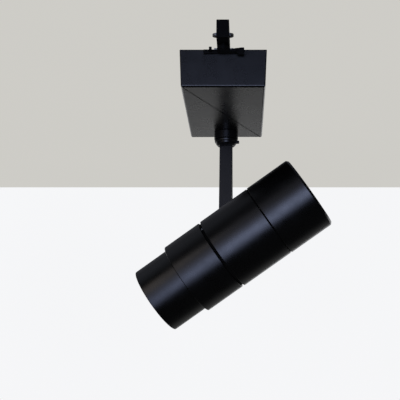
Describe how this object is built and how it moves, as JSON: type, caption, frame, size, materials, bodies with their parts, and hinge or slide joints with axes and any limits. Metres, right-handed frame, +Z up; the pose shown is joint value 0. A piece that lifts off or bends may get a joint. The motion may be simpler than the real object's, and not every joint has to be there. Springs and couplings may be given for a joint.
{
  "type": "track spotlight",
  "caption": "Museum track spotlight: boxed driver with track adapter, pan swivel, flat side arm, and a tilting cylindrical head whose front barrel slides in and out as its ring turns.",
  "frame": {"origin": "on the pan axis, in the plane where the driver housing's top face meets the underside of the track", "axes": "+Z up along the pan axis into the track, +Y along the track from the adapter's nose towards the swivel end, +X to the right seen from the nose end"},
  "size_m": [0.2491, 0.2404, 0.3457],
  "materials": {
    "black_paint": "satin",
    "arm_paint": "satin",
    "black_steel": "satin",
    "bright_steel": "satin",
    "bare_aluminium": "satin",
    "copper": "satin",
    "black_plastic": "satin",
    "pale_plastic": "satin",
    "black_rubber": "matte",
    "circuit_board": "satin",
    "ferrite": "matte",
    "capacitor_sleeve": "satin",
    "red_sleeve": "satin",
    "black_sleeve": "satin",
    "lens_glass": "polished",
    "mirror_coat": "polished",
    "phosphor": "satin"
  },
  "bodies": {
    "housing": {"driver_housing": "black_paint", "housing_lid": "black_paint", "lid_screw_1": "black_steel", "lid_screw_2": "black_steel", "lid_screw_3": "black_steel", "lid_screw_4": "black_steel", "driver_board": "circuit_board", "transformer": "ferrite", "input_capacitor": "capacitor_sleeve", "output_capacitor": "capacitor_sleeve", "choke": "copper", "heat_spreader": "bare_aluminium", "mains_terminal": "pale_plastic", "output_terminal": "pale_plastic", "adapter_body": "black_plastic", "adapter_end_plate": "black_plastic", "swivel_base": "arm_paint", "brake_ring": "black_rubber"},
    "track_lever": {"lock_lever": "black_plastic", "lock_cam": "bright_steel"},
    "front_contact": {"contact_rotor_front": "pale_plastic", "contact_blade_front": "copper"},
    "rear_contact": {"contact_rotor_rear": "pale_plastic", "contact_blade_rear": "copper"},
    "circuit_selector": {"circuit_dial": "pale_plastic"},
    "arm": {"swivel_hub": "arm_paint", "pan_spring_washer": "bright_steel", "pan_nut": "bright_steel", "arm": "arm_paint", "arm_cover": "black_plastic", "arm_lead_red": "red_sleeve", "arm_lead_black": "black_sleeve", "tilt_disc_spring": "bright_steel"},
    "pan_lock": {"pan_lock_screw": "black_steel"},
    "tilt_lock": {"tilt_bolt": "black_steel"},
    "head": {"hinge_block": "black_paint", "tilt_washer": "black_plastic", "body_shell": "black_paint", "dust_seal": "black_rubber", "seal_ring": "black_rubber", "rear_housing": "black_paint", "heat_sink": "bare_aluminium", "rear_cap": "black_paint", "cap_screw_1": "black_steel", "cap_screw_2": "black_steel", "cap_screw_3": "black_steel", "led_board": "bare_aluminium", "led_emitter": "phosphor", "led_holder": "pale_plastic", "reflector": "mirror_coat", "guide_tube": "black_plastic", "field_lens": "lens_glass", "stop_screw": "bright_steel"},
    "zoom_ring": {"zoom_ring": "black_paint"},
    "front_barrel": {"front_barrel": "black_paint", "front_lens": "lens_glass", "lens_ring": "black_plastic", "cam_pin_1": "bright_steel", "cam_pin_2": "bright_steel", "cam_pin_3": "bright_steel"}
  },
  "joints": [
    {"name": "pan", "type": "hinge", "parent": "housing", "child": "arm", "pos_m": [0, 0, -0.0571], "axis": [0, 0, 1], "range_deg": [-170, 185]},
    {"name": "tilt", "type": "hinge", "parent": "arm", "child": "head", "pos_m": [0, 0, -0.2], "axis": [0.1867, 0.9824, 0], "range_deg": [-56, 33.9]},
    {"name": "zoom_turn", "type": "hinge", "parent": "head", "child": "zoom_ring", "pos_m": [-0.08802, -0.04068, -0.28305], "axis": [0.8152, -0.1549, 0.558], "range_deg": [0, 150]},
    {"name": "zoom_slide", "type": "slide", "parent": "head", "child": "front_barrel", "axis": [0.8152, -0.1549, 0.558], "range_m": [0, 0.03]},
    {"name": "pan_lock_turn", "type": "hinge", "parent": "arm", "child": "pan_lock", "pos_m": [0, 0, -0.0608], "axis": [0.9824, -0.1867, 0], "range_deg": [0, 270]},
    {"name": "tilt_lock_turn", "type": "hinge", "parent": "arm", "child": "tilt_lock", "pos_m": [0, 0, -0.2], "axis": [0.1867, 0.9824, 0], "range_deg": [0, 270]},
    {"name": "track_lock", "type": "hinge", "parent": "housing", "child": "track_lever", "pos_m": [0, -0.196, 0], "axis": [0, 0, 1], "range_deg": [-90, 0]},
    {"name": "front_contact_turn", "type": "hinge", "parent": "housing", "child": "front_contact", "pos_m": [0, -0.15, 0.013], "axis": [0, 0, 1], "range_deg": [-90, 0]},
    {"name": "rear_contact_turn", "type": "hinge", "parent": "housing", "child": "rear_contact", "pos_m": [0, -0.105, 0.013], "axis": [0, 0, 1], "range_deg": [-90, 0]},
    {"name": "circuit_select", "type": "hinge", "parent": "housing", "child": "circuit_selector", "pos_m": [0, -0.075, 0.0235], "axis": [0, 0, 1], "range_deg": [0, 270]}
  ],
  "couplings": [
    {"joint": "zoom_slide", "follows": "zoom_turn", "m_per_rad": 0.011459},
    {"joint": "front_contact_turn", "follows": "track_lock", "ratio": 1},
    {"joint": "rear_contact_turn", "follows": "track_lock", "ratio": 1}
  ]
}
